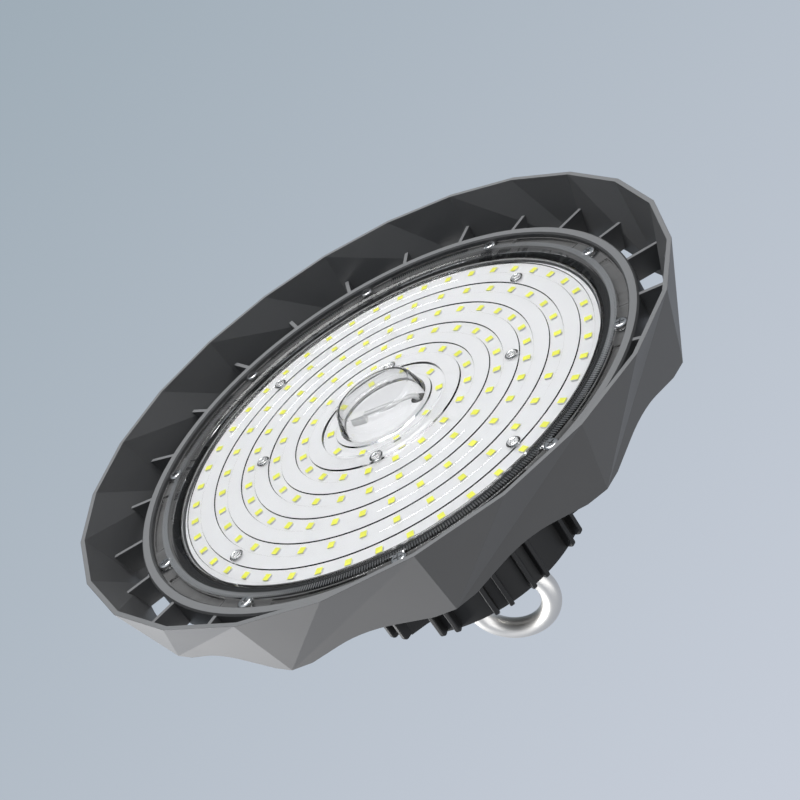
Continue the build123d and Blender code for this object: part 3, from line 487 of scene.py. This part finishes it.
METALS = {
    "satin_steel": ((0.6, 0.585, 0.56), 0.36, 0.46, 0.01 * MM),
    "bright_steel": ((0.8, 0.8, 0.8), 0.12, 0.2, 0.004 * MM),
    "tooth_mirror": ((0.5, 0.5, 0.5), 0.32, 0.4, 0.002 * MM),
    "bare_aluminium": ((0.75, 0.76, 0.78), 0.3, 0.4, 0.01 * MM),
    "copper_wire": ((0.75, 0.38, 0.12), 0.25, 0.35, 0.02 * MM),
}
for name, row in METALS.items():
    finishes[name] = metal(name, *row)
print("metals:", len(METALS))

# %% [markdown]
# ## White plastic on the board
# The terminal and the two leads are white on the white board, under the hub of the lens. The picture shows no
# shadow beside them. The lamps could be moved until the shadow is hidden, but that would change every facet.
# So rays from the lamps pass through these pieces, which real plastic wouldn't allow.

# %% Leads and terminal without shadow


def let_lamps_through(material):
    """Make a material's pieces throw no shadow."""
    tree = material.node_tree
    through = tree.nodes.new("ShaderNodeBsdfTransparent")
    mix = tree.nodes.new("ShaderNodeMixShader")
    link(tree, tree.nodes.new("ShaderNodeLightPath").outputs["Is Shadow Ray"], mix.inputs[0])
    link(tree, tree.nodes["Principled BSDF"].outputs[0], mix.inputs[1])
    link(tree, through.outputs[0], mix.inputs[2])
    link(tree, mix.outputs[0], tree.nodes["Material Output"].inputs["Surface"])


SHADOWLESS = ("white_nylon", "white_silicone")
for name in SHADOWLESS:
    let_lamps_through(finishes[name])
print("without shadow:", SHADOWLESS)

# %% [markdown]
# ## Clear plastic
# The lens is one clear moulding over the white board, and the fuse is a small glass tube. Light could be
# traced through them in full, but a path tracer finds the light behind glass slowly, and a real lens hardly
# shades the board. So the rays from the lamps pass straight through here too.

# %% Clear finishes
PLASTIC_INDEX = 1.49
GLASS_INDEX = 1.5


def clear(name, index, tint):
    """See-through stuff that lets the lamps' light through."""
    material, _ = finish_material(name, Base_Color=(*tint, 1.0), Roughness=0.0, IOR=index, Transmission_Weight=1.0)
    let_lamps_through(material)
    return material


finishes["clear_lens"] = clear("clear_lens", PLASTIC_INDEX, (1.0, 1.0, 1.0))
finishes["clear_glass"] = clear("clear_glass", GLASS_INDEX, (0.95, 1.0, 0.98))
print("refraction: plastic", PLASTIC_INDEX, "glass", GLASS_INDEX)

# %% [markdown]
# ## Phosphor
# Each chip shows a square of yellow phosphor. The lamp is off in the picture, so a light source would be
# wrong. The moulded skin in a strong yellow is enough.

# %% Phosphor finish
finishes["phosphor"] = skin("phosphor", (0.99, 1.0, 0.04), (0.99, 1.0, 0.06), 0.3, 0.4, 0.004 * MM)
print("all finishes:", len(finishes))

# %% [markdown]
# ## The lens
# The CAD lens has a gentle arch over each ring of chips. The moulded part has a shallow channel there, close
# to the board, with steep steps up to the bands between the rings, and a hollow hub in the middle. Light that
# enters a step runs along inside the sheet and is lost, so each step that faces the eye draws a fine dark
# line. Dark rings could be painted on, but they would lie wrong from every other side. So the front and the
# back are each written as a profile: a list of radius and height, from the flange inwards.

# %% Lens profile
CHIP_RING_RADIUS = 28.4 * MM
CHIP_RING_PITCH = 14.7 * MM
CHIP_COUNTS = (10, 20, 25, 33, 35, 45)
CHIP_PHASES = (2.5, 8.0, 8.3, 4.0, 1.3, 0.8)
PANEL_EDGE = CHIP_RING_RADIUS + CHIP_RING_PITCH * (len(CHIP_COUNTS) - 0.5)
PANEL_JOIN = 0.7 * MM
CHANNEL_FRONT = 20.8 * MM
LENS_BACK = 21.5 * MM
CHANNEL_HALF_WIDTH = 3.35 * MM
STEP_RUN = 0.3 * MM
BAND_RISE = 0.5 * MM
FIRST_BAND_RISE = 1.3 * MM
HUB_FOOT_RISE = 0.8 * MM
HUB_FOOT = 22.2 * MM
HUB_TOP = 19.8 * MM
HUB_TOP_Z = 11.1 * MM
HUB_ROUND = 1.6 * MM
HUB_ROUND_SHARE = 0.3
HUB_SKIN = 0.6 * MM
HUB_BACK_FOOT = 20.7 * MM


def channel(middle, outer_rise, inner_rise):
    """Four points of the shallow channel over one ring of chips, from the flange inwards."""
    outer = middle + CHANNEL_HALF_WIDTH
    inner = middle - CHANNEL_HALF_WIDTH
    return [
        (outer + STEP_RUN / 2, CHANNEL_FRONT - outer_rise), (outer - STEP_RUN / 2, CHANNEL_FRONT),
        (inner + STEP_RUN / 2, CHANNEL_FRONT), (inner - STEP_RUN / 2, CHANNEL_FRONT - inner_rise),
    ]


def hub(skin):
    """Three points of the rounded rim of the hub, drawn in by the skin for the back face."""
    top = HUB_TOP - skin
    top_z = HUB_TOP_Z + skin
    return [
        (top, top_z + HUB_ROUND), (top - HUB_ROUND * HUB_ROUND_SHARE, top_z + HUB_ROUND * HUB_ROUND_SHARE),
        (top - HUB_ROUND, top_z),
    ]


FRONT_PROFILE = [(PANEL_EDGE - PANEL_JOIN, CHANNEL_FRONT - BAND_RISE)]
for k in reversed(range(len(CHIP_COUNTS))):
    outer_rise = BAND_RISE if k > 0 else FIRST_BAND_RISE
    inner_rise = BAND_RISE if k > 1 else HUB_FOOT_RISE
    FRONT_PROFILE += channel(CHIP_RING_RADIUS + CHIP_RING_PITCH * k, outer_rise, inner_rise)
FRONT_PROFILE += [(HUB_FOOT, CHANNEL_FRONT - HUB_FOOT_RISE)] + hub(0)
BACK_PROFILE = [(PANEL_EDGE - PANEL_JOIN, LENS_BACK), (HUB_BACK_FOOT, LENS_BACK)] + hub(HUB_SKIN)
print("front of the lens:", len(FRONT_PROFILE), "points; back:", len(BACK_PROFILE))

# %% [markdown]
# ## Turning the lens
# A round part could be turned whole from its profile. This lens keeps the flange of the CAD mesh, because no
# turning gives its pockets and screw seats. The panel inside the flange is taken out of a copy, and both faces
# are turned again inwards from the two open edges. Level faces are kept flat in the light, because smoothing
# would shade them by their neighbours.

# %% Turn the lens
WELD_DISTANCE = 0.001 * MM
EDGE_SLACK = 0.05 * MM
SHARP_ANGLE = math.radians(35.0)
LEVEL_NORMAL = 0.9999


def turned_inwards(mesh, loop, profile):
    """Rings of faces from a loop of vertices to the middle, through the points of a profile."""
    outer = loop
    turns = [math.atan2(vert.co.y, vert.co.x) for vert in loop]
    for radius, z in profile:
        inner = [mesh.verts.new((radius * math.cos(turn), radius * math.sin(turn), z)) for turn in turns]
        for k in range(len(loop)):
            mesh.faces.new((outer[k - 1], outer[k], inner[k], inner[k - 1]))
        outer = inner
    middle = mesh.verts.new((0, 0, profile[-1][1]))
    for k in range(len(loop)):
        mesh.faces.new((outer[k - 1], outer[k], middle))


def smooth_mesh(mesh, name):
    """A mesh from a bmesh, smooth except on level faces and at sharp edges."""
    bmesh.ops.recalc_face_normals(mesh, faces=mesh.faces)
    data = bpy.data.meshes.new(name)
    mesh.to_mesh(data)
    mesh.free()
    data.shade_smooth()
    data.set_sharp_from_angle(angle=SHARP_ANGLE)
    for face in data.polygons:
        face.use_smooth = abs(face.normal.z) < LEVEL_NORMAL
    return data


def placed(name, data, finish):
    """Put a finished mesh in the scene, riding on the lamp."""
    data.materials.clear()
    data.materials.append(finishes[finish])
    piece = bpy.data.objects.new(name, data)
    bpy.context.scene.collection.objects.link(piece)
    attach(piece, "root")
    return piece


lens_mesh = bmesh.new()
lens_mesh.from_mesh(nodes["lens"].data)
bmesh.ops.remove_doubles(lens_mesh, verts=lens_mesh.verts, dist=WELD_DISTANCE)
panel_faces = [f for f in lens_mesh.faces if all(v.co.xy.length < PANEL_EDGE + EDGE_SLACK for v in f.verts)]
bmesh.ops.delete(lens_mesh, geom=panel_faces, context="FACES")
open_verts = sorted((v for v in lens_mesh.verts if v.is_boundary), key=lambda v: math.atan2(v.co.y, v.co.x))
half_way = sum(v.co.z for v in open_verts) / len(open_verts)
turned_inwards(lens_mesh, [v for v in open_verts if v.co.z < half_way], FRONT_PROFILE)
turned_inwards(lens_mesh, [v for v in open_verts if v.co.z > half_way], BACK_PROFILE)
clear_lens = placed("clear_lens", smooth_mesh(lens_mesh, "clear_lens"), "clear_lens")
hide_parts("lens")
print("lens faces:", len(clear_lens.data.polygons))

# %% [markdown]
# ## Rings of small parts
# The chips lie in six rings, the flange of the lens carries a ring of fine teeth, and clear buttons cover the
# screws of the board. A loop could place them one by one. Here one kind of tree plants all three: it spreads
# points evenly round a circle, turns a small shape to face outwards at each, and makes the result real. What
# differs is the shape, so each kind of part has its own small maker.

# %% Shapes to plant
TOOTH_SIDES = 4
BALL_SEGMENTS = 24
BALL_RINGS = 12


def tile_shape(tree, entry):
    """A flat block: its length points outwards."""
    size = tree.nodes.new("ShaderNodeCombineXYZ")
    for socket, label in zip(size.inputs, ("Length", "Width", "Thickness")):
        link(tree, entry.outputs[label], socket)
    block = tree.nodes.new("GeometryNodeMeshCube")
    link(tree, size.outputs[0], block.inputs["Size"])
    return block.outputs["Mesh"]


def tooth_shape(tree, entry):
    """A four sided bar that points outwards, with one edge to the front; its Width is its radius."""
    bar = tree.nodes.new("GeometryNodeMeshCylinder")
    bar.inputs["Vertices"].default_value = TOOTH_SIDES
    link(tree, entry.outputs["Width"], bar.inputs["Radius"])
    link(tree, entry.outputs["Length"], bar.inputs["Depth"])
    lay = tree.nodes.new("GeometryNodeTransform")
    lay.inputs["Rotation"].default_value = (0.0, math.pi / 2, 0.0)
    link(tree, bar.outputs["Mesh"], lay.inputs["Geometry"])
    return lay.outputs["Geometry"]


def button_shape(tree, entry):
    """A round button, flattened to its thickness."""
    ball = tree.nodes.new("GeometryNodeMeshUVSphere")
    ball.inputs["Segments"].default_value = BALL_SEGMENTS
    ball.inputs["Rings"].default_value = BALL_RINGS
    half = math_node(tree, "DIVIDE", entry.outputs["Width"], 2.0)
    link(tree, half, ball.inputs["Radius"])
    flatten = tree.nodes.new("ShaderNodeCombineXYZ")
    flatten.inputs["X"].default_value = 1.0
    flatten.inputs["Y"].default_value = 1.0
    link(tree, math_node(tree, "DIVIDE", entry.outputs["Thickness"], half), flatten.inputs["Z"])
    press = tree.nodes.new("GeometryNodeTransform")
    link(tree, ball.outputs["Mesh"], press.inputs["Geometry"])
    link(tree, flatten.outputs[0], press.inputs["Scale"])
    return press.outputs["Geometry"]


print("shapes to plant: tile, tooth, button")

# %% Ring planting tree
RING_INPUTS = [
    ("Count", "NodeSocketInt"), ("Ring Radius", "NodeSocketFloat"), ("Height", "NodeSocketFloat"),
    ("Phase", "NodeSocketFloat"), ("Length", "NodeSocketFloat"), ("Width", "NodeSocketFloat"),
    ("Thickness", "NodeSocketFloat"), ("Finish", "NodeSocketMaterial"),
]


def ring_tree(name, shape):
    """Geometry Nodes tree that plants a shape at even steps round a circle."""
    tree = bpy.data.node_groups.new(name, "GeometryNodeTree")
    for label, kind in RING_INPUTS:
        tree.interface.new_socket(label, in_out="INPUT", socket_type=kind)
    tree.interface.new_socket("Geometry", in_out="OUTPUT", socket_type="NodeSocketGeometry")
    entry = tree.nodes.new("NodeGroupInput")
    points = tree.nodes.new("GeometryNodePoints")
    link(tree, entry.outputs["Count"], points.inputs["Count"])
    share = math_node(tree, "DIVIDE", tree.nodes.new("GeometryNodeInputIndex").outputs[0], entry.outputs["Count"])
    turn = math_node(tree, "ADD", math_node(tree, "MULTIPLY", share, math.tau), entry.outputs["Phase"])
    place = tree.nodes.new("ShaderNodeCombineXYZ")
    radius = entry.outputs["Ring Radius"]
    link(tree, math_node(tree, "MULTIPLY", math_node(tree, "COSINE", turn), radius), place.inputs["X"])
    link(tree, math_node(tree, "MULTIPLY", math_node(tree, "SINE", turn), radius), place.inputs["Y"])
    link(tree, entry.outputs["Height"], place.inputs["Z"])
    spread = tree.nodes.new("GeometryNodeSetPosition")
    link(tree, points.outputs[0], spread.inputs["Geometry"])
    link(tree, place.outputs[0], spread.inputs["Position"])
    euler = tree.nodes.new("ShaderNodeCombineXYZ")
    link(tree, turn, euler.inputs["Z"])
    rotation = tree.nodes.new("FunctionNodeEulerToRotation")
    link(tree, euler.outputs[0], rotation.inputs[0])
    plant = tree.nodes.new("GeometryNodeInstanceOnPoints")
    link(tree, spread.outputs["Geometry"], plant.inputs["Points"])
    link(tree, shape(tree, entry), plant.inputs["Instance"])
    link(tree, rotation.outputs[0], plant.inputs["Rotation"])
    real = tree.nodes.new("GeometryNodeRealizeInstances")
    link(tree, plant.outputs["Instances"], real.inputs["Geometry"])
    paint = tree.nodes.new("GeometryNodeSetMaterial")
    link(tree, real.outputs["Geometry"], paint.inputs["Geometry"])
    link(tree, entry.outputs["Finish"], paint.inputs["Material"])
    out = tree.nodes.new("NodeGroupOutput")
    link(tree, paint.outputs["Geometry"], out.inputs["Geometry"])
    return tree


def grown(name, tree, **values):
    """Run a tree once with these inputs, and give the plain mesh that it makes."""
    helper = bpy.data.objects.new(name, bpy.data.meshes.new(name))
    bpy.context.scene.collection.objects.link(helper)
    modifier = helper.modifiers.new(name, "NODES")
    modifier.node_group = tree
    for socket in tree.interface.items_tree:
        if socket.in_out == "INPUT" and socket.name.replace(" ", "_") in values:
            modifier[socket.identifier] = values[socket.name.replace(" ", "_")]
    graph = bpy.context.evaluated_depsgraph_get()
    data = bpy.data.meshes.new_from_object(helper.evaluated_get(graph), depsgraph=graph)
    bpy.data.objects.remove(helper)
    return data


tile_tree = ring_tree("ring_of_tiles", tile_shape)
button_tree = ring_tree("ring_of_buttons", button_shape)
tooth_tree = ring_tree("ring_of_teeth", tooth_shape)
print("nodes in a tree of tiles:", len(tile_tree.nodes))

# %% [markdown]
# ## The yellow squares
# Each chip is a white frame with a square of phosphor in it. The CAD chips are plain white blocks. Their front
# could be painted through a mask, but a thin yellow tile in front of each is simpler, and it gives each square
# a real edge.

# %% Plant the phosphor
CHIP_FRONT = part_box("led_chips")[0][2]
PHOSPHOR_LENGTH = 3.6 * MM
PHOSPHOR_WIDTH = 3.1 * MM
PHOSPHOR_THICKNESS = 0.08 * MM

for k, (count, phase) in enumerate(zip(CHIP_COUNTS, CHIP_PHASES)):
    name = f"phosphor_ring_{k + 1}"
    data = grown(
        name, tile_tree, Count=count, Ring_Radius=CHIP_RING_RADIUS + CHIP_RING_PITCH * k,
        Height=CHIP_FRONT - PHOSPHOR_THICKNESS / 2, Phase=math.radians(phase), Length=PHOSPHOR_LENGTH,
        Width=PHOSPHOR_WIDTH, Thickness=PHOSPHOR_THICKNESS, Finish=finishes["phosphor"],
    )
    placed(name, data, "phosphor")
print("phosphor squares:", sum(CHIP_COUNTS))

# %% [markdown]
# ## The teeth of the lens
# A ring of fine prisms runs round the flange, outside the board. Clear bars would be the true thing, but they
# are so small that they hardly show on the clear flange. So fine bars with a soft metal finish lie on its bead
# and give the light and dark stripes.

# %% Plant the teeth of the lens
TOOTH_COUNT = 620
TOOTH_RING_RADIUS = 115.6 * MM
TOOTH_RING_Z = 17.3 * MM
TOOTH_LENGTH = 2.8 * MM
TOOTH_SIZE = 0.28 * MM
teeth = grown(
    "lens_teeth", tooth_tree, Count=TOOTH_COUNT, Ring_Radius=TOOTH_RING_RADIUS, Height=TOOTH_RING_Z, Phase=0.0,
    Length=TOOTH_LENGTH, Width=TOOTH_SIZE, Finish=finishes["tooth_mirror"],
)
placed("lens_teeth", teeth, "tooth_mirror")
print("teeth:", TOOTH_COUNT)

# %% [markdown]
# ## The buttons over the board screws
# The lens has a small clear dome over each screw of the board: four outside, and two pairs further in. The
# panel is turned, so a dome can't be in its profile, and cutting it in would cost many faces. A flattened
# clear ball in the panel shows the same bright rim.

# %% Plant the clear buttons over the board screws
BUTTON_WIDTH = 6.6 * MM
BUTTON_RISE = 1.9 * MM
BUTTON_SINK = 0.2 * MM
BUTTON_RINGS = ((4, 4, 30.0), (2, 2, 75.0), (2, 0, 165.0))
for count, gap, phase in BUTTON_RINGS:
    name = f"screw_buttons_{gap}"
    data = grown(
        name, button_tree, Count=count, Ring_Radius=CHIP_RING_RADIUS + CHIP_RING_PITCH * (gap + 0.5),
        Height=CHANNEL_FRONT + BUTTON_SINK, Phase=math.radians(phase), Width=BUTTON_WIDTH, Thickness=BUTTON_RISE,
        Finish=finishes["clear_lens"],
    )
    data.shade_smooth()
    placed(name, data, "clear_lens")
print("buttons:", sum(ring[0] for ring in BUTTON_RINGS))

# %% [markdown]
# ## Dress the CAD nodes
# Each CAD node keeps its mesh and gets its finish in every material slot. The list could be sorted by node,
# but sorted by finish it shows at once which parts are made of the same stuff.

# %% Give each node its finish
DRESS = {
    "grey_coat": ["heat_sink_body"],
    "black_coat": ["driver_housing", "driver_cover"],
    "clear_lens": ["lens"],
    "white_mask": ["led_board", "led_chips"],
    "grey_pad": ["thermal_pad"],
    "black_rubber": ["lens_gasket", "housing_gasket", "cover_gasket", "wire_grommet", "gland_seal", "gland_washer"],
    "bright_steel": ["lens_screws", "board_screws"],
    "satin_steel": [
        "eye_bolt", "eye_nut", "eye_washer_inner", "eye_washer_outer", "housing_screws", "cover_screws",
        "driver_board_screws",
    ],
    "black_nylon": ["cable_gland_body", "gland_locknut", "gland_cap", "vent_plug", "power_transistors"],
    "white_nylon": ["board_terminal"],
    "white_silicone": ["output_leads"],
    "green_board": ["driver_board"],
    "can_sleeve": ["bulk_capacitors", "output_capacitors"],
    "film_dip": ["film_capacitor"],
    "ferrite": ["transformer_core"],
    "copper_wire": ["transformer_winding", "filter_choke"],
    "bare_aluminium": ["transistor_heat_plate"],
    "green_nylon": ["mains_terminal_block"],
    "clear_glass": ["fuse"],
}
dressed = set()
for finish, names in DRESS.items():
    for name in names:
        for slot in nodes[name].material_slots:
            slot.material = finishes[finish]
        dressed.add(name)
print("dressed", len(dressed), "nodes; left:", sorted(set(nodes) - dressed))

# %% [markdown]
# ## Paint for the floor
# A studio floor is matt and almost even. A plain grey would do, but the skin group with a much coarser grain
# costs nothing more and keeps the floor from looking like a second wall.

# %% Paint the floor
FLOOR_GRAIN_SCALE = 60.0
floor_paint = skin("floor_paint", (0.62, 0.66, 0.7), (0.66, 0.7, 0.74), 0.7, 0.9, 0.2 * MM, FLOOR_GRAIN_SCALE)
floor.data.materials.append(floor_paint)
print("floor painted")
